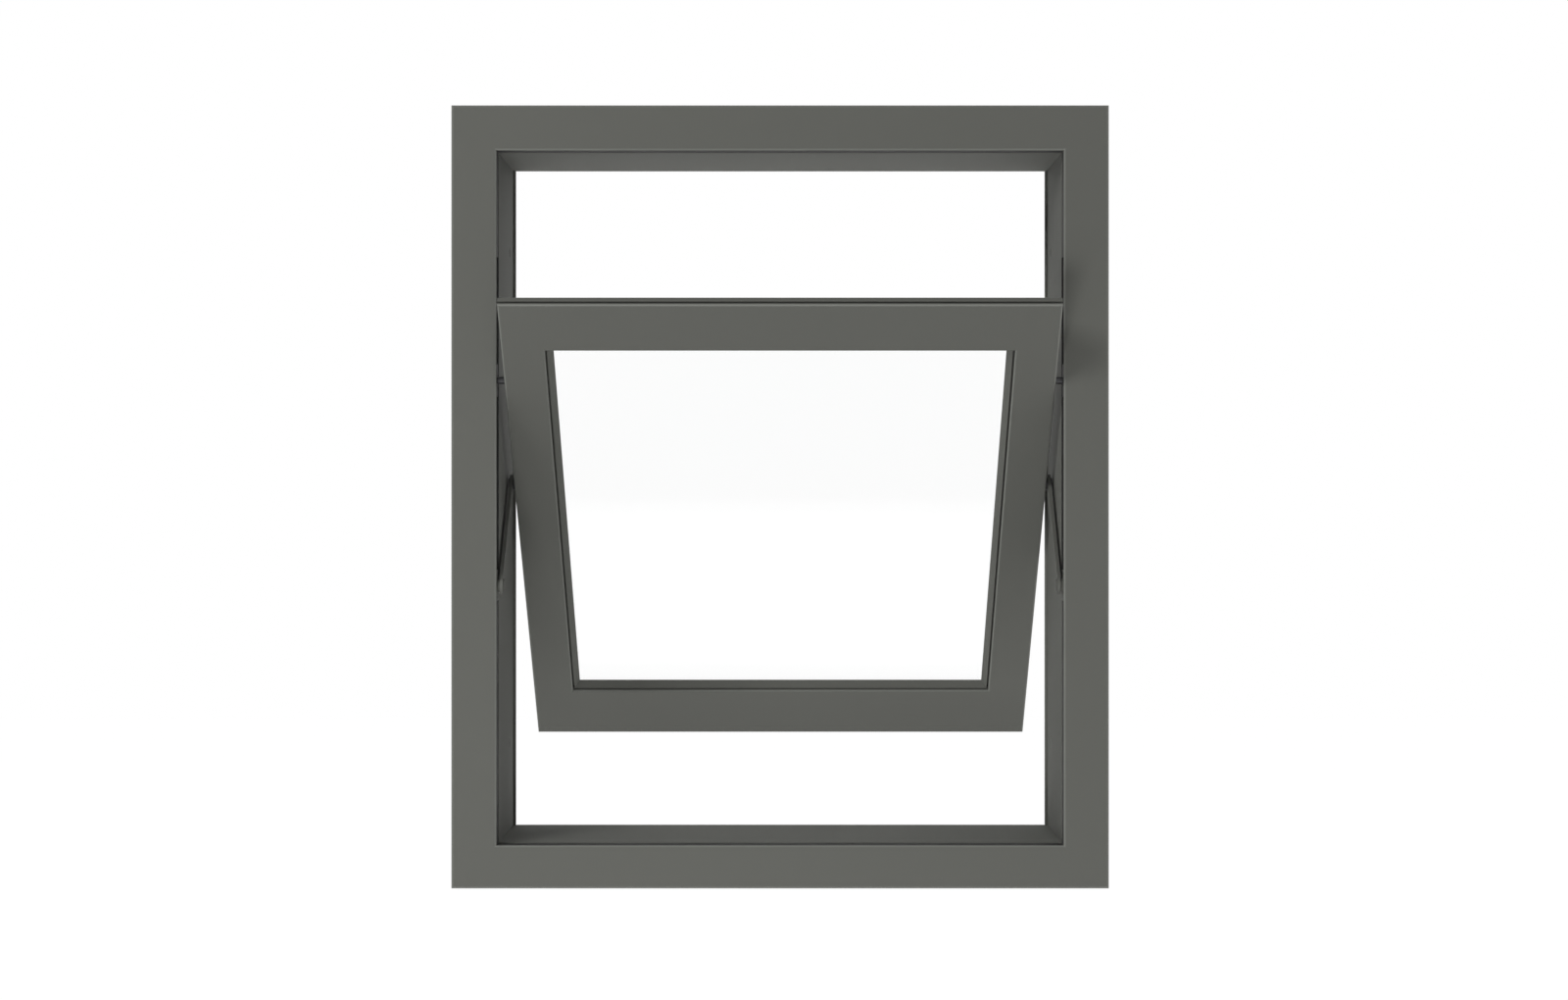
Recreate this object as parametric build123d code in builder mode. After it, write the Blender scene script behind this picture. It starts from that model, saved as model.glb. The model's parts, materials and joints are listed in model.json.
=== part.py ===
from build123d import *
import math
import os

os.makedirs("parts", exist_ok=True)

# A top-guided pivot window. A deep fixed frame holds a glazed sash on two side arms and two
# sliding shoes: as the foot of the sash swings out, its top slides down the jambs.
# Millimetres. +X right, +Y away from the room, +Z up. The origin is on the underside of the
# sill, midway along it and midway through the frame.

# Fixed frame: outer size, the faces that show from the room, and the extrusion's walls
frame_width = 640.0
frame_height = 762.0
frame_depth = 190.0
jamb_face = 44.0
head_face = 44.0
sill_face = 42.0
frame_wall = 3.0
frame_edge_radius = 2.5
groove_width = 20.0
groove_depth = 12.0
body_chambers = 2

# Sash: gap all round when shut, rail and stile faces, and the depths of its layers
sash_gap = 8.0
stile_face = 42.0
top_rail_face = 62.0
bottom_rail_face = 74.0
cover_thickness = 2.5
cover_edge_radius = 2.2
shadow_groove_depth = 4.0
shadow_groove_width = 3.0
flange_thickness = 4.0
bevel_start = 10.0
bevel_end = 21.5
bevel_inset = 11.0
sash_thickness = 32.0
sash_wall = 2.5
bead_slope = 7.5
bead_land = 1.2
bead_setback = 0.6
bead_gap = 1.8
bead_foot = 1.5

# Rear box of the sash, measured inwards from the sash's outer edge
stile_box_start = 12.0
stile_box_width = 16.0
top_box_start = 27.0
top_box_width = 21.0
bottom_box_start = 12.0
bottom_box_width = 24.0
retainer_width = 17.0

# Glazing: two panes with a spacer between them, and a seal on each side
pane_thickness = 4.0
cavity = 6.0
glass_edge_gap = 3.0
spacer_width = 9.0
spacer_inset = 3.0
front_seal = 3.5
rear_seal = 2.0
seal_width = 8.0

# Linkage: the pins' setback behind the front, where the shoe pin sits, and the arm length
pin_setback = 14.0
shoe_pin_drop = 116.4
arm_length = 149.4
open_angle = 48.0
arm_width = 18.0
arm_thickness = 3.0
pivot_radius = 4.0
shoe_pin_radius = 3.5
collar_radius = 6.5
rivet_radius = 6.0
rivet_thickness = 1.2
rivet_chamfer = 0.5
pin_grip = 20.0
track_wall = 1.0
shoe_length = 32.0
bracket_height = 30.0
track_end_margin = 6.0

# Clearances
running_clearance = 0.05
side_play = 0.3
shoe_clearance = 0.5
socket_clearance = 0.02

# Fixing holes through the jambs, and the seals in the grooves
fixing_radius = 3.25
fixing_setback = 145.0
fixing_spacing = 500.0
groove_seal_depth = 11.4
seal_corner_radius = 1.5

# Derived levels and planes
opening_left = -frame_width / 2 + jamb_face
opening_right = frame_width / 2 - jamb_face
opening_bottom = sill_face
opening_top = frame_height - head_face
sash_width = opening_right - opening_left - 2 * sash_gap
sash_height = opening_top - opening_bottom - 2 * sash_gap
front_y = -frame_depth / 2
glass_front = cover_thickness + flange_thickness + front_seal
unit_thickness = 2 * pane_thickness + cavity
retainer_front = glass_front + unit_thickness + rear_seal
pin_y = front_y + pin_setback
shut_shoe_z = opening_top - sash_gap - shoe_pin_drop
pivot_z = shut_shoe_z - 2 * arm_length
sine = math.sin(math.radians(open_angle))
cosine = math.cos(math.radians(open_angle))
shoe_z = pivot_z + 2 * arm_length * cosine
knee_y = pin_y + arm_length * sine
knee_z = pivot_z + arm_length * cosine
top_edge_y = pin_y - shoe_pin_drop * sine - pin_setback * cosine
top_edge_z = shoe_z + shoe_pin_drop * cosine - pin_setback * sine

frame_face = Plane(origin=(0, front_y, 0), x_dir=(1, 0, 0), z_dir=(0, -1, 0))
sash_face = Plane(origin=(0, top_edge_y, top_edge_z), x_dir=(1, 0, 0), z_dir=(0, -cosine, -sine))

# Boxes on a face are (left, bottom, right, top)
frame_box = (-frame_width / 2, 0.0, frame_width / 2, frame_height)
frame_faces = {"left": jamb_face, "right": jamb_face, "top": head_face, "bottom": sill_face}
sash_box = (-sash_width / 2, -sash_height, sash_width / 2, 0.0)
sash_faces = {"left": stile_face, "right": stile_face, "top": top_rail_face, "bottom": bottom_rail_face}
box_starts = {
    "left": stile_box_start,
    "right": stile_box_start,
    "top": top_box_start,
    "bottom": bottom_box_start,
}
box_ends = {
    "left": stile_box_start + stile_box_width,
    "right": stile_box_start + stile_box_width,
    "top": top_box_start + top_box_width,
    "bottom": bottom_box_start + bottom_box_width,
}


def inset(box, left, bottom, right, top):
    """The box pulled in by a distance on each side."""
    return (box[0] + left, box[1] + bottom, box[2] - right, box[3] - top)


def inset_by(box, sides):
    """The box pulled in by each side's own distance."""
    return inset(box, sides["left"], sides["bottom"], sides["right"], sides["top"])


def side_plane(face, box, side):
    """The plane across a bar on one side of a box: x runs inwards and y runs to the back."""
    left, bottom, right, top = box
    starts = {"left": (left, bottom), "right": (right, top), "top": (left, top), "bottom": (right, bottom)}
    inwards = {"left": (1, 0), "right": (-1, 0), "top": (0, -1), "bottom": (0, 1)}
    origin = face.from_local_coords((*starts[side], 0))
    x_dir = face.x_dir * inwards[side][0] + face.y_dir * inwards[side][1]
    return Plane(origin=origin, x_dir=x_dir, z_dir=x_dir.cross(face.z_dir * -1))


def side_length(box, side):
    """How long a bar on one side of a box is."""
    if side in ("left", "right"):
        return box[3] - box[1]
    return box[2] - box[0]


def mitred(outer, inner, side):
    """The four corners, seen from the front, of a bar that is mitred at both ends."""
    corners = {
        "left": ((outer[0], outer[1]), (outer[0], outer[3]), (inner[0], inner[3]), (inner[0], inner[1])),
        "right": ((outer[2], outer[1]), (outer[2], outer[3]), (inner[2], inner[3]), (inner[2], inner[1])),
        "top": ((outer[0], outer[3]), (outer[2], outer[3]), (inner[2], inner[3]), (inner[0], inner[3])),
        "bottom": ((outer[0], outer[1]), (outer[2], outer[1]), (inner[2], inner[1]), (inner[0], inner[1])),
    }
    return corners[side]


def finish(part, name):
    """Label a finished piece and write it."""
    part.label = name
    export_step(part, f"parts/{name}.step")


# Frame head, sill and jambs: hollow extrusions with a groove round the opening, mitred
def frame_bar(side):
    face_width = frame_faces[side]
    front_chamber = pin_setback + groove_width / 2 - frame_wall
    body_start = front_chamber + 2 * frame_wall
    body_depth = (frame_depth - body_start - body_chambers * frame_wall) / body_chambers
    with BuildPart() as bar:
        with BuildSketch(side_plane(frame_face, frame_box, side)):
            Rectangle(face_width, frame_depth, align=(Align.MIN, Align.MIN))
            fillet(vertices().group_by(Axis.Y)[0], frame_edge_radius)
            with Locations((face_width, pin_setback)):
                Rectangle(2 * groove_depth, groove_width, mode=Mode.SUBTRACT)
            with Locations((frame_wall, frame_wall)):
                Rectangle(
                    face_width - groove_depth - 2 * frame_wall,
                    front_chamber,
                    align=(Align.MIN, Align.MIN),
                    mode=Mode.SUBTRACT,
                )
            for number in range(body_chambers):
                with Locations((frame_wall, body_start + number * (body_depth + frame_wall))):
                    Rectangle(
                        face_width - 2 * frame_wall,
                        body_depth,
                        align=(Align.MIN, Align.MIN),
                        mode=Mode.SUBTRACT,
                    )
        extrude(amount=side_length(frame_box, side))
        with BuildSketch(frame_face):
            with BuildLine():
                Polyline(*mitred(frame_box, inset_by(frame_box, frame_faces), side), close=True)
            make_face()
        extrude(amount=-frame_depth, mode=Mode.INTERSECT)
        if side in ("left", "right"):
            middle = side_plane(frame_face, frame_box, side).origin.X
            with BuildSketch(Plane(origin=(middle, 0, frame_height / 2), x_dir=(0, 1, 0), z_dir=(1, 0, 0))):
                with Locations((front_y + fixing_setback, 0)):
                    with GridLocations(0, fixing_spacing, 1, 2):
                        Circle(fixing_radius)
            extrude(amount=2 * jamb_face, both=True, mode=Mode.SUBTRACT)
    return bar.part


for side, name in (
    ("top", "frame_head"),
    ("bottom", "frame_sill"),
    ("left", "frame_left_jamb"),
    ("right", "frame_right_jamb"),
):
    finish(frame_bar(side), name)


# Rubber seals pressed into the grooves: along the head and the sill, and up each jamb
# wherever the groove holds no track and no bracket
def draw_seal_section():
    """The section of a groove seal, in a sketch where x runs out of the groove."""
    with Locations((-groove_depth, pin_setback)):
        Rectangle(groove_seal_depth, groove_width, align=(Align.MIN, Align.CENTER))
    fillet(vertices().group_by(Axis.X)[-1], seal_corner_radius)


opening = inset_by(frame_box, frame_faces)
for side, name in (("top", "head_seal"), ("bottom", "sill_seal")):
    with BuildPart() as groove_seal:
        with BuildSketch(side_plane(frame_face, opening, side)):
            draw_seal_section()
        extrude(amount=side_length(opening, side))
    finish(groove_seal.part, name)


# Right-hand hardware is modelled at +X and mirrored for the left
def write_pair(part, name):
    """Write the right-hand piece and its mirror image."""
    finish(part, f"right_{name}")
    finish(mirror(part, about=Plane.YZ), f"left_{name}")


sash_side = sash_width / 2
arm_inner = sash_side + (sash_gap - arm_thickness) / 2
arm_outer = arm_inner + arm_thickness
groove_floor = opening_right + groove_depth
track_bottom = pivot_z + bracket_height / 2
track_top = shut_shoe_z + shoe_length / 2 + track_end_margin


def side_disc_plane(x, y, z):
    """A plane square to the pins, facing +X."""
    return Plane(origin=(x, y, z), x_dir=(0, 1, 0), z_dir=(1, 0, 0))


# Tracks: thin steel channels in the jamb grooves, in which the shoes slide
with BuildPart() as track:
    with BuildSketch(Plane.XY.offset(track_bottom)):
        with Locations((opening_right, pin_y)):
            Rectangle(groove_depth, groove_width, align=(Align.MIN, Align.CENTER))
            Rectangle(
                groove_depth - track_wall,
                groove_width - 2 * track_wall,
                align=(Align.MIN, Align.CENTER),
                mode=Mode.SUBTRACT,
            )
    extrude(amount=track_top - track_bottom)
write_pair(track.part, "track")

with BuildPart() as jamb_seal:
    for low, high in (
        (opening_bottom, pivot_z - bracket_height / 2),
        (track_top, opening_top),
    ):
        with BuildSketch(side_plane(frame_face, opening, "right").offset(opening_top - high)):
            draw_seal_section()
        extrude(amount=high - low)
write_pair(jamb_seal.part, "jamb_seal")

# Arm brackets: a block seated in the groove, with the boss, pin and head that carry an arm
with BuildPart() as arm_bracket:
    with BuildSketch(Plane.XY.offset(pivot_z - bracket_height / 2)):
        with Locations((opening_right, pin_y)):
            Rectangle(groove_depth, groove_width, align=(Align.MIN, Align.CENTER))
    extrude(amount=bracket_height)
    with BuildSketch(side_disc_plane(arm_outer + side_play, pin_y, pivot_z)):
        Circle(collar_radius)
    extrude(amount=opening_right - arm_outer)
    with BuildSketch(side_disc_plane(arm_inner - side_play, pin_y, pivot_z)):
        Circle(pivot_radius)
    extrude(amount=opening_right - arm_inner)
    with BuildSketch(side_disc_plane(arm_inner - side_play, pin_y, pivot_z)):
        Circle(rivet_radius)
    extrude(amount=-rivet_thickness)
    chamfer(faces().sort_by(Axis.X)[0].edges(), rivet_chamfer)
write_pair(arm_bracket.part, "arm_bracket")

# Arms: flat steel links from the bracket to the sash
arm_plane = Plane(origin=(arm_inner, pin_y, pivot_z), x_dir=(0, sine, cosine), z_dir=(1, 0, 0))
with BuildPart() as arm:
    with BuildSketch(arm_plane):
        with Locations((arm_length / 2, 0)):
            SlotCenterToCenter(arm_length, arm_width)
        with Locations((0, 0), (arm_length, 0)):
            Circle(pivot_radius + running_clearance, mode=Mode.SUBTRACT)
    extrude(amount=arm_thickness)
write_pair(arm.part, "arm")

# Shoes: nylon blocks that slide in the tracks and carry the pins on which the sash's top turns
with BuildPart() as shoe:
    with BuildSketch(Plane.XY.offset(shoe_z - shoe_length / 2)):
        with Locations((opening_right + shoe_clearance, pin_y)):
            Rectangle(
                groove_depth - track_wall - 2 * shoe_clearance,
                groove_width - 2 * track_wall - 2 * shoe_clearance,
                align=(Align.MIN, Align.CENTER),
            )
    extrude(amount=shoe_length)
    chamfer(edges().filter_by(Axis.X), 2 * track_wall)
    with BuildSketch(side_disc_plane(opening_right, pin_y, shoe_z)):
        Circle(shoe_pin_radius + socket_clearance)
    extrude(amount=groove_depth, mode=Mode.SUBTRACT)
write_pair(shoe.part, "shoe")

# Arm pins are fixed in the stiles and shoe pins in the shoes. Each has a collar that is let
# into the stile, so that the arm or the shoe stands clear of the sash's side.
with BuildPart() as arm_pin:
    with BuildSketch(side_disc_plane(sash_side - bevel_inset, knee_y, knee_z)):
        Circle(collar_radius)
    extrude(amount=arm_inner - side_play - sash_side + bevel_inset)
    with BuildSketch(side_disc_plane(sash_side - pin_grip, knee_y, knee_z)):
        Circle(pivot_radius)
    extrude(amount=arm_outer + side_play - sash_side + pin_grip)
    with BuildSketch(side_disc_plane(arm_outer + side_play, knee_y, knee_z)):
        Circle(rivet_radius)
    extrude(amount=rivet_thickness)
    chamfer(faces().sort_by(Axis.X)[-1].edges(), rivet_chamfer)
write_pair(arm_pin.part, "arm_pin")

with BuildPart() as shoe_pin:
    with BuildSketch(side_disc_plane(sash_side - bevel_inset, pin_y, shoe_z)):
        Circle(collar_radius)
    extrude(amount=bevel_inset + side_play)
    with BuildSketch(side_disc_plane(sash_side - pin_grip, pin_y, shoe_z)):
        Circle(shoe_pin_radius)
    extrude(amount=groove_floor - track_wall - shoe_clearance - sash_side + pin_grip)
write_pair(shoe_pin.part, "shoe_pin")


# Sash rails and stiles: a front flange with a bevelled outer edge and a hollow rear box
def sash_outline(side):
    """How a sash bar looks from the front: mitred outside the stile's box, butted inside it."""
    left, bottom, right, top = sash_box
    step = box_ends["left"]
    opening = inset_by(sash_box, sash_faces)
    if side in ("left", "right"):
        outside = left if side == "left" else right
        boxed = left + step if side == "left" else right - step
        inside = opening[0] if side == "left" else opening[2]
        return (
            (outside, bottom),
            (outside, top),
            (boxed, top - step),
            (boxed, opening[3]),
            (inside, opening[3]),
            (inside, opening[1]),
            (boxed, opening[1]),
            (boxed, bottom + step),
        )
    outside = top if side == "top" else bottom
    boxed = top - step if side == "top" else bottom + step
    inside = opening[3] if side == "top" else opening[1]
    return (
        (left, outside),
        (right, outside),
        (right - step, boxed),
        (right - step, inside),
        (left + step, inside),
        (left + step, boxed),
    )


def sash_bar(side):
    face_width = sash_faces[side]
    box_start = box_starts[side]
    box_end = box_ends[side]
    flange_back = cover_thickness + flange_thickness
    groove_back = cover_thickness + shadow_groove_width
    with BuildPart() as bar:
        with BuildSketch(side_plane(sash_face, sash_box, side)):
            with BuildLine():
                Polyline(
                    (shadow_groove_depth, cover_thickness),
                    (shadow_groove_depth, groove_back),
                    (0, groove_back),
                    (0, bevel_start),
                    (bevel_inset, bevel_end),
                    (box_start, bevel_end),
                    (box_start, sash_thickness),
                    (box_end, sash_thickness),
                    (box_end, flange_back),
                    (face_width, flange_back),
                    (face_width, cover_thickness),
                    close=True,
                )
            make_face()
            with Locations((box_start + sash_wall, bevel_end)):
                Rectangle(
                    box_end - box_start - 2 * sash_wall,
                    sash_thickness - bevel_end - sash_wall,
                    align=(Align.MIN, Align.MIN),
                    mode=Mode.SUBTRACT,
                )
        extrude(amount=side_length(sash_box, side))
        with BuildSketch(sash_face):
            with BuildLine():
                Polyline(*sash_outline(side), close=True)
            make_face()
        extrude(amount=-sash_thickness, mode=Mode.INTERSECT)
        if side in ("left", "right"):
            rear_box = inset_by(sash_box, box_starts)
            with BuildSketch(sash_face.offset(-bevel_end)):
                with Locations(((sash_box[0] + sash_box[2]) / 2, rear_box[3])):
                    Rectangle(sash_width, sash_height, align=(Align.CENTER, Align.MIN))
                with Locations(((sash_box[0] + sash_box[2]) / 2, rear_box[1])):
                    Rectangle(sash_width, sash_height, align=(Align.CENTER, Align.MAX))
            extrude(amount=-sash_thickness, mode=Mode.SUBTRACT)
            outwards = -1 if side == "left" else 1
            for hole_y, hole_z, radius, clearance in (
                (knee_y, knee_z, pivot_radius, socket_clearance),
                (pin_y, shoe_z, shoe_pin_radius, running_clearance),
            ):
                with BuildSketch(side_disc_plane(outwards * (sash_side - pin_grip), hole_y, hole_z)):
                    Circle(radius + clearance)
                extrude(amount=outwards * 2 * pin_grip, mode=Mode.SUBTRACT)
                with BuildSketch(side_disc_plane(outwards * (sash_side - bevel_inset), hole_y, hole_z)):
                    Circle(collar_radius + clearance)
                extrude(amount=outwards * 2 * pin_grip, mode=Mode.SUBTRACT)
    return bar.part


for side, name in (
    ("top", "sash_top_rail"),
    ("bottom", "sash_bottom_rail"),
    ("left", "sash_left_stile"),
    ("right", "sash_right_stile"),
):
    finish(sash_bar(side), name)


# Cover plates on the front of the sash, with rounded edges
def cover_plate(side):
    with BuildPart() as plate:
        with BuildSketch(side_plane(sash_face, sash_box, side)):
            Rectangle(sash_faces[side], cover_thickness, align=(Align.MIN, Align.MIN))
            fillet(vertices().group_by(Axis.Y)[0], cover_edge_radius)
        extrude(amount=side_length(sash_box, side))
        with BuildSketch(sash_face):
            with BuildLine():
                Polyline(*mitred(sash_box, inset_by(sash_box, sash_faces), side), close=True)
            make_face()
        extrude(amount=-cover_thickness, mode=Mode.INTERSECT)
    return plate.part


# Front beads: sloping strips between the cover plates and the glass, clipped over a foot so
# that a narrow shadow gap runs round between bead and cover
def front_bead(side):
    sash_opening = inset_by(sash_box, sash_faces)
    bead_back = glass_front - side_play
    with BuildPart() as bead:
        with BuildSketch(side_plane(sash_face, sash_opening, side)):
            with BuildLine():
                Polyline(
                    (bead_gap, cover_edge_radius + bead_setback),
                    (bead_slope, bead_back - bead_land),
                    (bead_slope, bead_back),
                    (0, bead_back),
                    (0, bead_back - bead_foot),
                    (bead_gap, bead_back - bead_foot),
                    close=True,
                )
            make_face()
        extrude(amount=side_length(sash_opening, side))
        with BuildSketch(sash_face):
            with BuildLine():
                sight_line = inset(sash_opening, bead_slope, bead_slope, bead_slope, bead_slope)
                Polyline(*mitred(sash_opening, sight_line, side), close=True)
            make_face()
        extrude(amount=-glass_front, mode=Mode.INTERSECT)
    return bead.part


# Rear retainers: square strips that hold the glass in from outside
def rear_retainer(side):
    seat = inset_by(sash_box, box_ends)
    inner = inset(seat, retainer_width, retainer_width, retainer_width, retainer_width)
    with BuildPart() as retainer:
        with BuildSketch(side_plane(sash_face, seat, side)):
            with Locations((0, retainer_front)):
                Rectangle(
                    retainer_width,
                    sash_thickness - retainer_front,
                    align=(Align.MIN, Align.MIN),
                )
            chamfer(vertices().group_by(Axis.Y)[-1].sort_by(Axis.X)[-1], sash_wall)
        extrude(amount=side_length(seat, side))
        with BuildSketch(sash_face):
            with BuildLine():
                Polyline(*mitred(seat, inner, side), close=True)
            make_face()
        extrude(amount=-sash_thickness, mode=Mode.INTERSECT)
    return retainer.part


for side in ("top", "bottom", "left", "right"):
    finish(cover_plate(side), f"{side}_cover")
    finish(front_bead(side), f"{side}_bead")
    finish(rear_retainer(side), f"{side}_retainer")


def rect_on(box, mode=Mode.ADD):
    """Draw a box in the sketch that is open."""
    with Locations(((box[0] + box[2]) / 2, (box[1] + box[3]) / 2)):
        Rectangle(box[2] - box[0], box[3] - box[1], mode=mode)


# Panes, spacer and glazing seals
glass_seat = inset_by(sash_box, box_ends)
glass_box = inset(glass_seat, glass_edge_gap, glass_edge_gap, glass_edge_gap, glass_edge_gap)
layers = (
    ("inner_pane", glass_front, pane_thickness),
    ("outer_pane", glass_front + pane_thickness + cavity, pane_thickness),
)
for name, depth, thickness in layers:
    with BuildPart() as pane:
        with BuildSketch(sash_face.offset(-depth)):
            rect_on(glass_box)
        extrude(amount=-thickness)
    finish(pane.part, name)

spacer_outer = inset(glass_box, spacer_inset, spacer_inset, spacer_inset, spacer_inset)
with BuildPart() as spacer:
    with BuildSketch(sash_face.offset(-glass_front - pane_thickness)):
        rect_on(spacer_outer)
        rect_on(inset(spacer_outer, spacer_width, spacer_width, spacer_width, spacer_width), Mode.SUBTRACT)
    extrude(amount=-cavity)
finish(spacer.part, "spacer")

front_seat = inset_by(sash_box, sash_faces)
with BuildPart() as front_glazing_seal:
    with BuildSketch(sash_face.offset(-cover_thickness - flange_thickness)):
        rect_on(inset(front_seat, -seal_width, -seal_width, -seal_width, -seal_width))
        rect_on(front_seat, Mode.SUBTRACT)
    extrude(amount=-front_seal)
finish(front_glazing_seal.part, "front_glazing_seal")

with BuildPart() as rear_glazing_seal:
    seal_outer = inset(
        glass_seat,
        retainer_width - seal_width,
        retainer_width - seal_width,
        retainer_width - seal_width,
        retainer_width - seal_width,
    )
    with BuildSketch(sash_face.offset(-glass_front - unit_thickness)):
        rect_on(seal_outer)
        rect_on(inset(seal_outer, seal_width, seal_width, seal_width, seal_width), Mode.SUBTRACT)
    extrude(amount=-rear_seal)
finish(rear_glazing_seal.part, "rear_glazing_seal")

print("arm pivot", pin_y, round(pivot_z, 4))
print("knee", round(knee_y, 4), round(knee_z, 4))
print("shoe pin", pin_y, round(shoe_z, 4))
print("top edge", round(top_edge_y, 3), round(top_edge_z, 3))
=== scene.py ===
import bmesh
import bpy
import json
import math
from mathutils import Matrix, Vector


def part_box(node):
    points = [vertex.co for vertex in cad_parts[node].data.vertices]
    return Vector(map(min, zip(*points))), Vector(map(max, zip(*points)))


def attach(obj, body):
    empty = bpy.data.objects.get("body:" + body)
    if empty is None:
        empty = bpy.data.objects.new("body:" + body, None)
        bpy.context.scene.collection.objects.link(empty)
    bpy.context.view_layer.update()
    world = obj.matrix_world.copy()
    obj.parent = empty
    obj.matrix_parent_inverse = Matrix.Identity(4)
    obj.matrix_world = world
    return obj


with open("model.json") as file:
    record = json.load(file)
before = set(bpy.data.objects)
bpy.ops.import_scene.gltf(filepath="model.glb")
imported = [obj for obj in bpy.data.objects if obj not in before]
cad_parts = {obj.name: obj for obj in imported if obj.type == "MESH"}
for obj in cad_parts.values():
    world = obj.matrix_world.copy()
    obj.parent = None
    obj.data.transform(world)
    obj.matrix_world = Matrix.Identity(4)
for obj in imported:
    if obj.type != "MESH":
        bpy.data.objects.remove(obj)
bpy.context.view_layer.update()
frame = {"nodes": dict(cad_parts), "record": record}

# Camera: square on to the window from the room, almost opposite its middle, through a long
# lens. The frame's front plane and its middle height come from the frame itself.
head_low, head_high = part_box("frame_head")
sill_low, sill_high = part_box("frame_sill")
window_front = head_low.y
window_back = head_high.y
window_middle = (sill_low.z + head_high.z) / 2
camera_distance = 2.960
camera_right = 0.0038
camera_below = 0.0030
camera_lens = 69.86
sensor_width = 36.0
camera_data = bpy.data.cameras.new("camera")
camera_data.sensor_width = sensor_width
camera_data.lens = camera_lens
camera = bpy.data.objects.new("camera", camera_data)
camera.location = (camera_right, window_front - camera_distance, window_middle - camera_below)
camera.rotation_euler = (math.radians(90), 0, 0)
bpy.context.scene.collection.objects.link(camera)
bpy.context.scene.camera = camera
bpy.context.scene.view_settings.view_transform = "Standard"


# Room light: an even white studio. What the camera sees past the window, by itself, in a
# reflection or through the glass, is plain white, and what lights the window is softer.
def add_node(tree, kind, values=(), **settings):
    """Add a shader node with its own settings and with values on its inputs."""
    node = tree.nodes.new("ShaderNode" + kind)
    for setting, choice in settings.items():
        setattr(node, setting, choice)
    for socket, value in dict(values).items():
        node.inputs[socket].default_value = value
    return node


def join(tree, *pairs):
    """Link each pair of an output and an input."""
    for source, target in pairs:
        tree.links.new(source, target)


def seen_mask(tree):
    """An output that is 1 for what the camera sees, by itself, through glass or in a reflection."""
    path = add_node(tree, "LightPath")
    straight = add_node(tree, "Math", operation="MAXIMUM")
    any_way = add_node(tree, "Math", operation="MAXIMUM")
    join(
        tree,
        (path.outputs["Is Camera Ray"], straight.inputs[0]),
        (path.outputs["Is Transmission Ray"], straight.inputs[1]),
        (straight.outputs[0], any_way.inputs[0]),
        (path.outputs["Is Glossy Ray"], any_way.inputs[1]),
    )
    return any_way.outputs[0]


white = (1, 1, 1, 1)
studio_light = 0.21
seen_light = 1.0
world = bpy.data.worlds.new("white studio")
bpy.context.scene.world = world
world.use_nodes = True
studio = world.node_tree
studio.nodes.clear()
lit = add_node(studio, "Background", {"Color": white, "Strength": studio_light})
seen = add_node(studio, "Background", {"Color": white, "Strength": seen_light})
choose = add_node(studio, "MixShader")
world_output = add_node(studio, "OutputWorld")
join(
    studio,
    (seen_mask(studio), choose.inputs["Fac"]),
    (lit.outputs[0], choose.inputs[1]),
    (seen.outputs[0], choose.inputs[2]),
    (choose.outputs[0], world_output.inputs["Surface"]),
)

# Lamps: a key soft box at the upper left, which leaves a faint shadow of the sash's corner on
# the right jamb, fills in front and below for the faces and the sash's foot, and others
# behind and at the right, so that the other sides are seen as clearly as the front.
window_centre = Vector((0, window_front, window_middle))
lamps = (
    ("key softbox", 45.0, 1.1, Vector((-1.7, -2.5, 1.6))),
    ("front fill", 19.5, 0.6, Vector((-0.4, -2.2, -0.9))),
    ("low fill", 6.2, 0.9, Vector((-0.1, 0.7, -1.1))),
    ("rear fill", 32.0, 0.8, Vector((0.0, 3.1, 0.9))),
    ("side fill", 14.0, 0.6, Vector((2.2, 0.1, 0.2))),
)
for lamp_name, power, width, away in lamps:
    lamp_data = bpy.data.lights.new(lamp_name, "AREA")
    lamp_data.shape = "SQUARE"
    lamp_data.size = width
    lamp_data.energy = power
    lamp = bpy.data.objects.new(lamp_name, lamp_data)
    lamp.location = window_centre + away
    lamp.rotation_euler = (-away).to_track_quat("-Z", "Y").to_euler()
    lamp.visible_camera = False
    lamp.visible_glossy = False
    lamp.visible_transmission = False
    bpy.context.scene.collection.objects.link(lamp)

# Floor: a plain white floor, as far below the window as a sill stands above one. It shows
# white to the camera and still takes the window's shadow.
floor_drop = 0.85
floor_reach = 14.0
floor_shade = (0.86, 0.86, 0.86, 1)
floor_glow = 0.82
floor_shape = bmesh.new()
bmesh.ops.create_grid(floor_shape, x_segments=1, y_segments=1, size=floor_reach)
bmesh.ops.translate(floor_shape, verts=floor_shape.verts, vec=(0, 0, sill_low.z - floor_drop))
floor_data = bpy.data.meshes.new("floor")
floor_shape.to_mesh(floor_data)
floor_shape.free()
floor = bpy.data.objects.new("floor", floor_data)
bpy.context.scene.collection.objects.link(floor)
floor_paint = bpy.data.materials.new("white floor")
floor_paint.use_nodes = True
floor_tree = floor_paint.node_tree
floor_tree.nodes.clear()
strength = add_node(floor_tree, "Math", {1: floor_glow}, operation="MULTIPLY")
glow = add_node(floor_tree, "Emission", {"Color": white})
matte = add_node(floor_tree, "BsdfDiffuse", {"Color": floor_shade})
glow_and_matte = add_node(floor_tree, "AddShader")
floor_output = add_node(floor_tree, "OutputMaterial")
join(
    floor_tree,
    (seen_mask(floor_tree), strength.inputs[0]),
    (strength.outputs[0], glow.inputs["Strength"]),
    (glow.outputs[0], glow_and_matte.inputs[0]),
    (matte.outputs[0], glow_and_matte.inputs[1]),
    (glow_and_matte.outputs[0], floor_output.inputs["Surface"]),
)
floor_data.materials.append(floor_paint)


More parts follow.
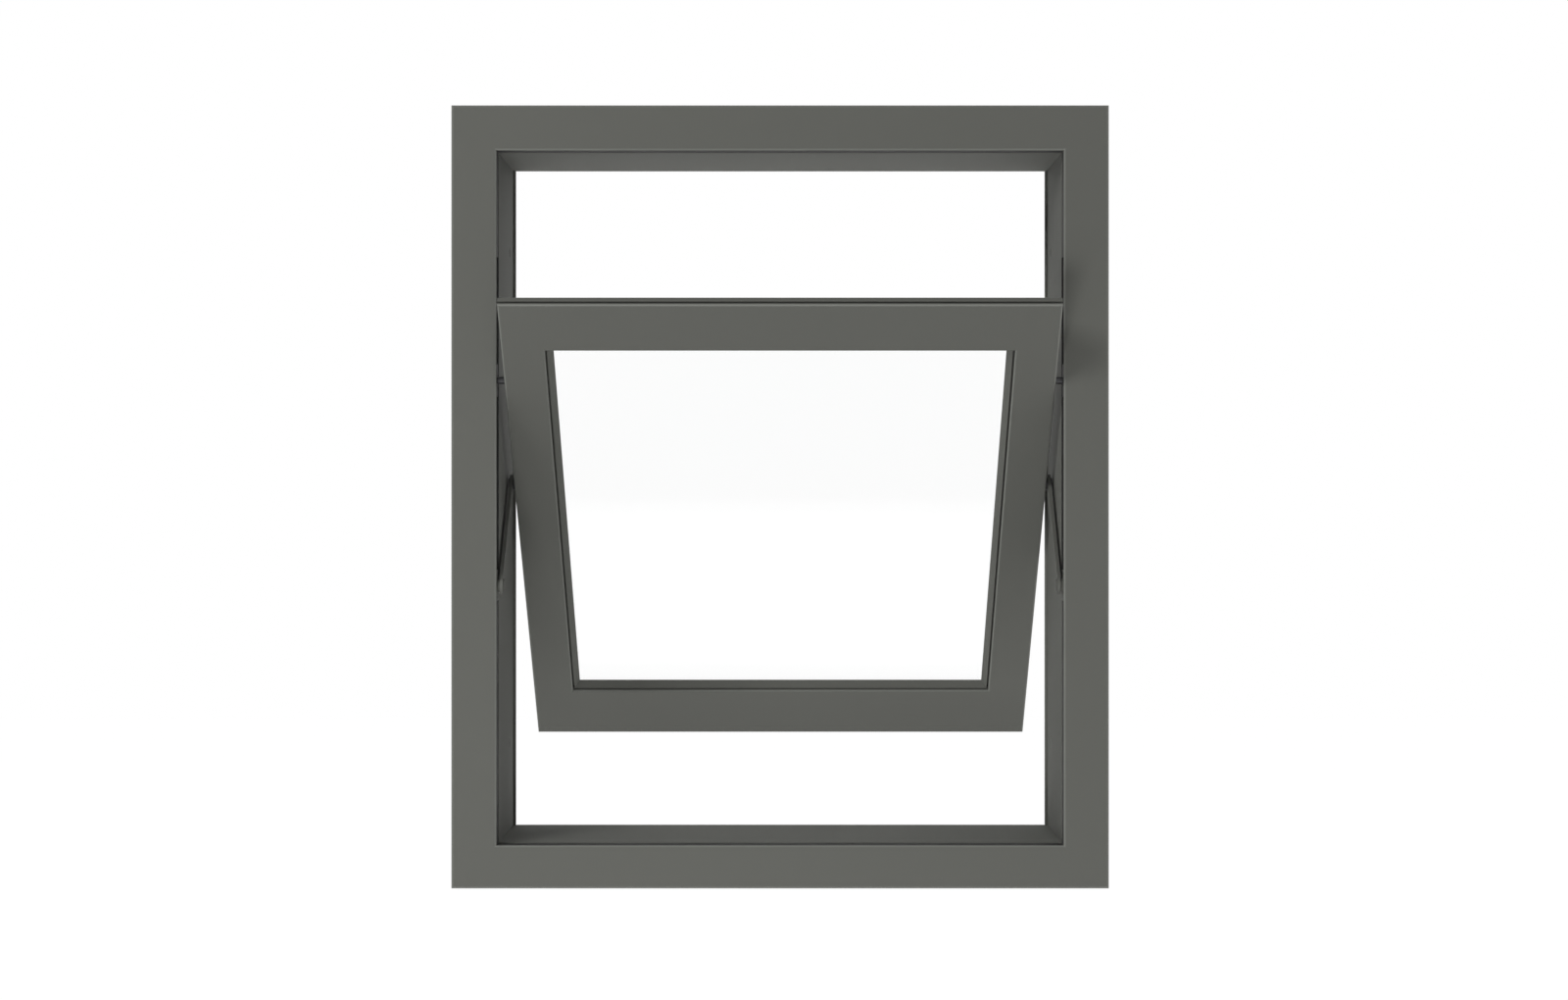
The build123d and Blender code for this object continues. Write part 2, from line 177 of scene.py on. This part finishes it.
# Powder coat: a baked polyester coat on aluminium and steel. Close up it has a fine orange
# peel and a faint speckle, and over a whole bar its shade drifts by a percent or two. Its
# rounded edges carry a painted highlight, a paler colour where light would catch them.
def surface_group(name, inputs):
    """A shader node group that puts out a colour, a roughness and a relief, and its two end nodes."""
    group = bpy.data.node_groups.new(name, "ShaderNodeTree")
    for socket_name, socket_type, value in inputs:
        socket = group.interface.new_socket(name=socket_name, in_out="INPUT", socket_type=socket_type)
        socket.default_value = value
    for socket_name, socket_type in (
        ("Color", "NodeSocketColor"),
        ("Roughness", "NodeSocketFloat"),
        ("Height", "NodeSocketFloat"),
    ):
        group.interface.new_socket(name=socket_name, in_out="OUTPUT", socket_type=socket_type)
    return group, group.nodes.new("NodeGroupInput"), group.nodes.new("NodeGroupOutput")


def surfaced(name, group, values, relief_strength, relief_depth):
    """A matte material whose colour, roughness and fine relief come from a group."""
    paint = bpy.data.materials.new(name)
    paint.use_nodes = True
    tree = paint.node_tree
    shader = tree.nodes["Principled BSDF"]
    shader.inputs["Specular IOR Level"].default_value = matte_reflection
    surface = add_node(tree, "Group", values, node_tree=group)
    bump = add_node(tree, "Bump", {"Strength": relief_strength, "Distance": relief_depth})
    join(
        tree,
        (surface.outputs["Color"], shader.inputs["Base Color"]),
        (surface.outputs["Roughness"], shader.inputs["Roughness"]),
        (surface.outputs["Height"], bump.inputs["Height"]),
        (bump.outputs["Normal"], shader.inputs["Normal"]),
    )
    return paint


coat_dark = (0.122, 0.124, 0.112, 1)
coat_light = (0.136, 0.139, 0.126, 1)
# Painted highlight: the paler colour laid on rounded edges, where light would catch them.
painted_edge_highlight = (0.205, 0.21, 0.193, 1)
coat_smoothest = 0.72
coat_roughest = 0.82
matte_reflection = 0.26
peel_scale = 900.0
peel_detail = 2.0
peel_strength = 0.35
peel_depth = 0.00001
drift_scale = 5.0
drift_detail = 3.0
drift_share = 0.5
speckle_fineness = 3.1
speckle_detail = 1.0
square_on = 0.995
turned_away = 0.85
powder, powder_in, powder_out = surface_group(
    "powder coat surface",
    (
        ("Dark", "NodeSocketColor", coat_dark),
        ("Light", "NodeSocketColor", coat_light),
        ("Peel Scale", "NodeSocketFloat", peel_scale),
        ("Drift Scale", "NodeSocketFloat", drift_scale),
        ("Lean", "NodeSocketFloat", 0.0),
        ("Painted Highlight", "NodeSocketColor", painted_edge_highlight),
        ("Painted Highlight Amount", "NodeSocketFloat", 0.0),
    ),
)
where = add_node(powder, "TexCoord")
peel = add_node(powder, "TexNoise", {"Detail": peel_detail})
drift = add_node(powder, "TexNoise", {"Detail": drift_detail})
speckle = add_node(powder, "TexNoise", {"Detail": speckle_detail})
finer = add_node(powder, "Math", {1: speckle_fineness}, operation="MULTIPLY")
speckle_part = add_node(powder, "Math", {1: 1 - drift_share}, operation="MULTIPLY")
shade = add_node(powder, "Math", {1: drift_share}, operation="MULTIPLY_ADD")
tone = add_node(powder, "Mix", data_type="RGBA")
# Painted highlight mask: where the normal, with the lean taken out, turns away from all three axes, as
# on rounded edges, the colour goes paler.
upright = add_node(powder, "VectorRotate", rotation_type="X_AXIS")
facing = add_node(powder, "VectorMath", operation="ABSOLUTE")
facing_parts = add_node(powder, "SeparateXYZ")
larger = add_node(powder, "Math", operation="MAXIMUM")
largest = add_node(powder, "Math", operation="MAXIMUM")
painted_highlight_mask = add_node(powder, "MapRange", {"From Min": square_on, "From Max": turned_away})
painted_highlight_share = add_node(powder, "Math", operation="MULTIPLY")
painted_highlight_tone = add_node(powder, "Mix", data_type="RGBA")
rough = add_node(powder, "MapRange", {"To Min": coat_smoothest, "To Max": coat_roughest})
join(
    powder,
    (where.outputs["Object"], peel.inputs["Vector"]),
    (where.outputs["Object"], drift.inputs["Vector"]),
    (where.outputs["Object"], speckle.inputs["Vector"]),
    (powder_in.outputs["Peel Scale"], peel.inputs["Scale"]),
    (powder_in.outputs["Drift Scale"], drift.inputs["Scale"]),
    (powder_in.outputs["Peel Scale"], finer.inputs[0]),
    (finer.outputs[0], speckle.inputs["Scale"]),
    (speckle.outputs["Fac"], speckle_part.inputs[0]),
    (drift.outputs["Fac"], shade.inputs[0]),
    (speckle_part.outputs[0], shade.inputs[2]),
    (shade.outputs[0], tone.inputs["Factor"]),
    (powder_in.outputs["Dark"], tone.inputs["A"]),
    (powder_in.outputs["Light"], tone.inputs["B"]),
    (where.outputs["Normal"], upright.inputs["Vector"]),
    (powder_in.outputs["Lean"], upright.inputs["Angle"]),
    (upright.outputs["Vector"], facing.inputs[0]),
    (facing.outputs["Vector"], facing_parts.inputs[0]),
    (facing_parts.outputs["X"], larger.inputs[0]),
    (facing_parts.outputs["Y"], larger.inputs[1]),
    (larger.outputs[0], largest.inputs[0]),
    (facing_parts.outputs["Z"], largest.inputs[1]),
    (largest.outputs[0], painted_highlight_mask.inputs["Value"]),
    (painted_highlight_mask.outputs["Result"], painted_highlight_share.inputs[0]),
    (powder_in.outputs["Painted Highlight Amount"], painted_highlight_share.inputs[1]),
    (painted_highlight_share.outputs[0], painted_highlight_tone.inputs["Factor"]),
    (tone.outputs["Result"], painted_highlight_tone.inputs["A"]),
    (powder_in.outputs["Painted Highlight"], painted_highlight_tone.inputs["B"]),
    (drift.outputs["Fac"], rough.inputs["Value"]),
    (painted_highlight_tone.outputs["Result"], powder_out.inputs["Color"]),
    (rough.outputs["Result"], powder_out.inputs["Roughness"]),
    (peel.outputs["Fac"], powder_out.inputs["Height"]),
)


def coated(name, painted_highlight_amount=0.0, lean=0.0):
    """The powder coat, with a painted highlight on a bar's rounded edges; the bar may lean back by an
    angle.
    """
    values = {
        "Dark": coat_dark,
        "Light": coat_light,
        "Painted Highlight": painted_edge_highlight,
        "Painted Highlight Amount": painted_highlight_amount,
        "Lean": -lean,
    }
    return surfaced(name, powder, values, peel_strength, peel_depth)


# Frame: four hollow aluminium extrusions, mitred, pinned at the corners and coated after
# assembly, so the faces run across the mitres without a break.
def dress(node_names, paint):
    """Give CAD nodes a material in every slot."""
    for node_name in node_names:
        node_data = frame["nodes"][node_name].data
        if not node_data.materials:
            node_data.materials.append(paint)
        for number in range(len(node_data.materials)):
            node_data.materials[number] = paint


# The frame's bars get the painted highlight on their rounded edges.
frame_coat = coated("frame powder coat", painted_highlight_amount=1.0)
dress(("frame_head", "frame_sill", "frame_left_jamb", "frame_right_jamb"), frame_coat)


# Fixing caps: low domed caps of moulded plastic, in the frame's colour, pushed into the four
# screw holes inside the reveal once the window is fixed.
def turned(shape, outline, place, out, socket=0.0):
    """Spin an outline of radii and heights into a piece that looks along a direction.

    A ring at the socket's radius is drawn in to a hexagon, for a key.
    """
    before = set(shape.verts)
    points = [shape.verts.new((radius, 0, height)) for radius, height in outline]
    edges = [shape.edges.new(pair) for pair in zip(points, points[1:])]
    bmesh.ops.spin(
        shape, geom=points + edges, cent=(0, 0, 0), axis=(0, 0, 1), dvec=(0, 0, 0),
        angle=math.tau, steps=turn_steps, use_merge=True,
    )
    made = [vert for vert in shape.verts if vert not in before]
    bmesh.ops.remove_doubles(shape, verts=made, dist=weld_distance)
    made = [vert for vert in shape.verts if vert not in before]
    sixth = math.tau / 6
    for vert in made:
        if socket and abs(math.hypot(vert.co.x, vert.co.y) - socket) < ring_tolerance:
            off_middle = math.atan2(vert.co.y, vert.co.x) % sixth - sixth / 2
            drawn_in = math.cos(sixth / 2) / math.cos(off_middle)
            vert.co.x *= drawn_in
            vert.co.y *= drawn_in
    turn = out.to_track_quat("Z", "Y").to_matrix().to_4x4()
    bmesh.ops.transform(shape, matrix=Matrix.Translation(place) @ turn, verts=made)


def finished(shape, name, paint, body):
    """Make a piece of a bmesh, with its finish, riding on a body."""
    bmesh.ops.recalc_face_normals(shape, faces=shape.faces)
    piece_data = bpy.data.meshes.new(name)
    shape.to_mesh(piece_data)
    shape.free()
    piece_data.materials.append(paint)
    piece = bpy.data.objects.new(name, piece_data)
    bpy.context.scene.collection.objects.link(piece)
    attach(piece, body)


turn_steps = 36
weld_distance = 0.000001
ring_tolerance = 0.00001
left_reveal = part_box("frame_left_jamb")[1].x
right_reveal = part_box("frame_right_jamb")[0].x
reveals = ((left_reveal, Vector((1, 0, 0))), (right_reveal, Vector((-1, 0, 0))))
fixings = next(mount for mount in frame["record"]["mounts"] if mount["name"] == "left_fixings")
fixing_y, fixing_z = fixings["pos_m"][1:]
half_spacing = fixings["dims"]["spacing_y_mm"] / 1000 / 2
cap_radius = 0.0056
cap_crown = 0.0011
stem_radius = 0.0030
stem_length = 0.0040
cap_outline = (
    (0, cap_crown), (0.0020, 0.0010), (0.0040, 0.0008), (0.0051, 0.0005), (cap_radius, 0.0001),
    (cap_radius, 0), (stem_radius, 0), (stem_radius, -stem_length), (0, -stem_length),
)
caps = bmesh.new()
for reveal_x, inward in reveals:
    for side in (-1, 1):
        turned(caps, cap_outline, Vector((reveal_x, fixing_y, fixing_z + side * half_spacing)), inward)
finished(caps, "fixing_caps", frame_coat, "frame")

# Rear beads: a slim coated bead snapped along each jamb's rear edge, which finishes the
# reveal and narrows the view through it a little. The open sash clears it.
bead_reach = 0.0026
bead_width = 0.0065
bead_round = 0.0009
round_steps = 3
opening_height = head_low.z - sill_high.z
opening_middle = (sill_high.z + head_low.z) / 2
for bead_name, (reveal_x, inward) in zip(("left_rear_bead", "right_rear_bead"), reveals):
    bead_bar = bmesh.new()
    bmesh.ops.create_cube(bead_bar, size=1.0)
    bmesh.ops.scale(bead_bar, verts=bead_bar.verts, vec=(bead_reach, bead_width, opening_height))
    free_edges = [
        edge for edge in bead_bar.edges
        if all(vert.co.x * inward.x > 0 for vert in edge.verts) and edge.calc_length() > bead_width
    ]
    bmesh.ops.bevel(
        bead_bar, geom=free_edges, offset=bead_round, segments=round_steps, profile=0.5,
        affect="EDGES", material=-1,
    )
    bead_x = reveal_x + inward.x * bead_reach / 2
    bead_place = (bead_x, window_back - bead_width / 2, opening_middle)
    bmesh.ops.translate(bead_bar, verts=bead_bar.verts, vec=bead_place)
    finished(bead_bar, bead_name, frame_coat, "frame")

# Drain hoods: two moulded hoods over the drain slots in the sill's outer face, open below,
# clipped on and coloured to match. Water from the groove runs out behind them.
hood_length = 0.042
hood_height = 0.011
hood_depth = 0.0035
hood_wall = 0.0011
hood_round = 0.0007
hood_slope = 0.35 * hood_height
hood_hollow = 0.45 * hood_height
hood_taper = 0.94
hood_from_middle = 0.185
hood_above_base = 0.021
hoods = bmesh.new()
for side in (-1, 1):
    before = set(hoods.verts)
    hood = bmesh.ops.create_cube(hoods, size=1.0)["verts"]
    bmesh.ops.scale(hoods, verts=hood, vec=(hood_length, hood_depth, hood_height))
    for vert in hood:
        if vert.co.y > 0 and vert.co.z > 0:
            vert.co.z -= hood_slope
            vert.co.x *= hood_taper
    own_faces = [face for face in hoods.faces if face.verts[0] in hood]
    under = min(own_faces, key=lambda face: face.calc_center_median().z)
    outer = [vert for vert in hood if vert.co.y > 0]
    rounded = [
        edge for edge in hoods.edges
        if edge not in under.edges and any(vert in outer for vert in edge.verts)
    ]
    bmesh.ops.inset_region(hoods, faces=[under], thickness=hood_wall, depth=0.0)
    bmesh.ops.translate(hoods, verts=under.verts, vec=(0, 0, hood_hollow))
    bmesh.ops.bevel(
        hoods, geom=rounded, offset=hood_round, segments=round_steps, profile=0.5,
        affect="EDGES", material=-1,
    )
    made = [vert for vert in hoods.verts if vert not in before]
    hood_place = (side * hood_from_middle, window_back + hood_depth / 2, sill_low.z + hood_above_base)
    bmesh.ops.translate(hoods, verts=made, vec=hood_place)
finished(hoods, "drain_hoods", frame_coat, "frame")

# Groove seals: black extruded rubber, pressed into the groove round the frame's opening. It
# is matte, with a fine grain and a little pale bloom.
rubber_shade = (0.010, 0.010, 0.010)
rubber_bloom = (0.024, 0.024, 0.023)
rubber_smoothest = 0.62
rubber_roughest = 0.82
bloom_scale = 60.0
bloom_detail = 4.0
grain_scale = 1400.0
grain_strength = 0.3
grain_depth = 0.00002
rubber_surface, rubber_in, rubber_out = surface_group(
    "rubber surface",
    (("Shade", "NodeSocketColor", (*rubber_shade, 1)), ("Bloom", "NodeSocketColor", (*rubber_bloom, 1))),
)
where = add_node(rubber_surface, "TexCoord")
bloom = add_node(rubber_surface, "TexNoise", {"Scale": bloom_scale, "Detail": bloom_detail})
grain = add_node(rubber_surface, "TexNoise", {"Scale": grain_scale})
tone = add_node(rubber_surface, "Mix", data_type="RGBA")
rough = add_node(rubber_surface, "MapRange", {"To Min": rubber_smoothest, "To Max": rubber_roughest})
join(
    rubber_surface,
    (where.outputs["Object"], bloom.inputs["Vector"]),
    (where.outputs["Object"], grain.inputs["Vector"]),
    (bloom.outputs["Fac"], tone.inputs["Factor"]),
    (rubber_in.outputs["Shade"], tone.inputs["A"]),
    (rubber_in.outputs["Bloom"], tone.inputs["B"]),
    (bloom.outputs["Fac"], rough.inputs["Value"]),
    (tone.outputs["Result"], rubber_out.inputs["Color"]),
    (rough.outputs["Result"], rubber_out.inputs["Roughness"]),
    (grain.outputs["Fac"], rubber_out.inputs["Height"]),
)


def soft_black(name, shade, bloom_shade):
    """A black rubber, moulded plastic or thin coat, with a paler bloom."""
    values = {"Shade": (*shade, 1), "Bloom": (*bloom_shade, 1)}
    return surfaced(name, rubber_surface, values, grain_strength, grain_depth)


rubber = soft_black("seal rubber", rubber_shade, rubber_bloom)
dress(("head_seal", "sill_seal", "left_jamb_seal", "right_jamb_seal"), rubber)

# Tracks: rolled steel channels with a matte black coat, let into the jambs' grooves for the
# shoes to slide in.
track_shade = (0.014, 0.014, 0.014)
track_bloom = (0.026, 0.026, 0.026)
track_black = soft_black("track black coat", track_shade, track_bloom)
dress(("left_track", "right_track"), track_black)

# Arms and brackets: steel pressings with the frame's powder coat. Each bracket lies in a
# jamb's groove, and its arm is riveted to it.
hardware_coat = coated("hardware powder coat")
dress(("left_arm", "right_arm", "left_arm_bracket", "right_arm_bracket"), hardware_coat)


# Hardware screws: countersunk screws of blackened steel with a hexagon socket, two in each
# bracket beside its pivot and two in each track's floor, clear of the shoe's travel.
def mottled(name, values, noise_scale, shades, roughness, stretch=(1, 1, 1)):
    """A material whose colour and roughness both wander with one noise."""
    paint = bpy.data.materials.new(name)
    paint.use_nodes = True
    tree = paint.node_tree
    shader = tree.nodes["Principled BSDF"]
    for socket, value in values.items():
        shader.inputs[socket].default_value = value
    position = add_node(tree, "TexCoord")
    drawn_out = add_node(tree, "Mapping", {"Scale": stretch})
    noise = add_node(tree, "TexNoise", {"Scale": noise_scale})
    tint = add_node(tree, "ValToRGB")
    for element, shade_here in zip(tint.color_ramp.elements, shades):
        element.color = (*shade_here, 1)
    sheen = add_node(tree, "MapRange", {"To Min": roughness[0], "To Max": roughness[1]})
    join(
        tree,
        (position.outputs["Object"], drawn_out.inputs["Vector"]),
        (drawn_out.outputs[0], noise.inputs["Vector"]),
        (noise.outputs["Fac"], tint.inputs["Fac"]),
        (noise.outputs["Fac"], sheen.inputs["Value"]),
        (tint.outputs["Color"], shader.inputs["Base Color"]),
        (sheen.outputs["Result"], shader.inputs["Roughness"]),
    )
    return paint


steel_shades = ((0.05, 0.05, 0.052), (0.09, 0.09, 0.092))
steel_roughness = (0.34, 0.5)
line_scale = 700.0
along_x = (0.06, 1, 1)
steel = mottled("blackened steel", {"Metallic": 1.0}, line_scale, steel_shades, steel_roughness, along_x)
screw_radius = 0.0023
screw_flat = 0.0019
screw_proud = 0.0003
screw_rim = 0.0002
screw_neck = 0.0012
screw_sunk = 0.0012
socket_radius = 0.0011
socket_depth = 0.0010
screw_outline = (
    (0, -socket_depth), (socket_radius, -socket_depth), (socket_radius, screw_proud),
    (screw_flat, screw_proud), (screw_radius, screw_proud / 2), (screw_radius, -screw_rim),
    (screw_neck, -screw_sunk), (0, -screw_sunk),
)
track_floor = 0.001
screw_from_pivot = 0.0119
lower_screw = 0.0085
upper_screw = 0.0031
screws = bmesh.new()
for side_name, (reveal_x, inward) in zip(("left", "right"), reveals):
    bracket_low, bracket_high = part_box(f"{side_name}_arm_bracket")
    track_low, track_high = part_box(f"{side_name}_track")
    screw_y = (track_low.y + track_high.y) / 2
    pivot_z = (bracket_low.z + bracket_high.z) / 2
    floor_x = (track_low.x if inward.x > 0 else track_high.x) + inward.x * track_floor
    for screw_x, screw_z in (
        (reveal_x, pivot_z - screw_from_pivot),
        (reveal_x, pivot_z + screw_from_pivot),
        (floor_x, track_low.z + lower_screw),
        (floor_x, track_high.z - upper_screw),
    ):
        turned(screws, screw_outline, Vector((screw_x, screw_y, screw_z)), inward, socket_radius)
finished(screws, "hardware_screws", steel, "frame")

# Sash: coated extrusions with a pressed cover plate in front, sloping beads at the glass
# and square retainers outside. All carry the frame's coat. The sash leans as its glass does.
pane_faces = frame["nodes"]["inner_pane"].data.polygons
pane_normal = max(pane_faces, key=lambda face: face.area).normal
sash_lean = math.atan2(abs(pane_normal.z), abs(pane_normal.y))
# The sash's bars get the painted highlight on their rounded edges, with the sash's lean taken out first.
sash_coat = coated("sash powder coat", painted_highlight_amount=1.0, lean=sash_lean)
bead_coat = coated("bead powder coat")
sides = ("top", "bottom", "left", "right")
dress(("sash_top_rail", "sash_bottom_rail", "sash_left_stile", "sash_right_stile"), sash_coat)
for piece in ("cover", "retainer"):
    dress([f"{side}_{piece}" for side in sides], sash_coat)
dress([f"{side}_bead" for side in sides], bead_coat)

# Glass: two panes of clear float glass, sealed round a dark warm-edge spacer and held between
# two rubber seals. Its reflection is faint, as in an evenly white room.
glass_values = {"Metallic": 0.0, "IOR": 1.14, "Transmission Weight": 1.0}
glass_shades = ((0.997, 1.0, 0.999), (1.0, 1.0, 1.0))
glass_roughness = (0.0, 0.004)
ripple_scale = 3.0
glass = mottled("clear float glass", glass_values, ripple_scale, glass_shades, glass_roughness)
dress(("inner_pane", "outer_pane"), glass)
spacer_shade = (0.02, 0.02, 0.02)
spacer_bloom = (0.035, 0.035, 0.035)
spacer_black = soft_black("warm edge spacer", spacer_shade, spacer_bloom)
dress(("spacer",), spacer_black)
dress(("front_glazing_seal", "rear_glazing_seal"), rubber)

# Pins and shoes: turned pins of the screws' blackened steel, with fine drawn lines along
# them, and shoes of black nylon, which slide in the tracks.
dress(("left_arm_pin", "right_arm_pin", "left_shoe_pin", "right_shoe_pin"), steel)
nylon_shade = (0.018, 0.018, 0.018)
nylon_bloom = (0.032, 0.032, 0.032)
nylon = soft_black("shoe nylon", nylon_shade, nylon_bloom)
dress(("left_shoe", "right_shoe"), nylon)
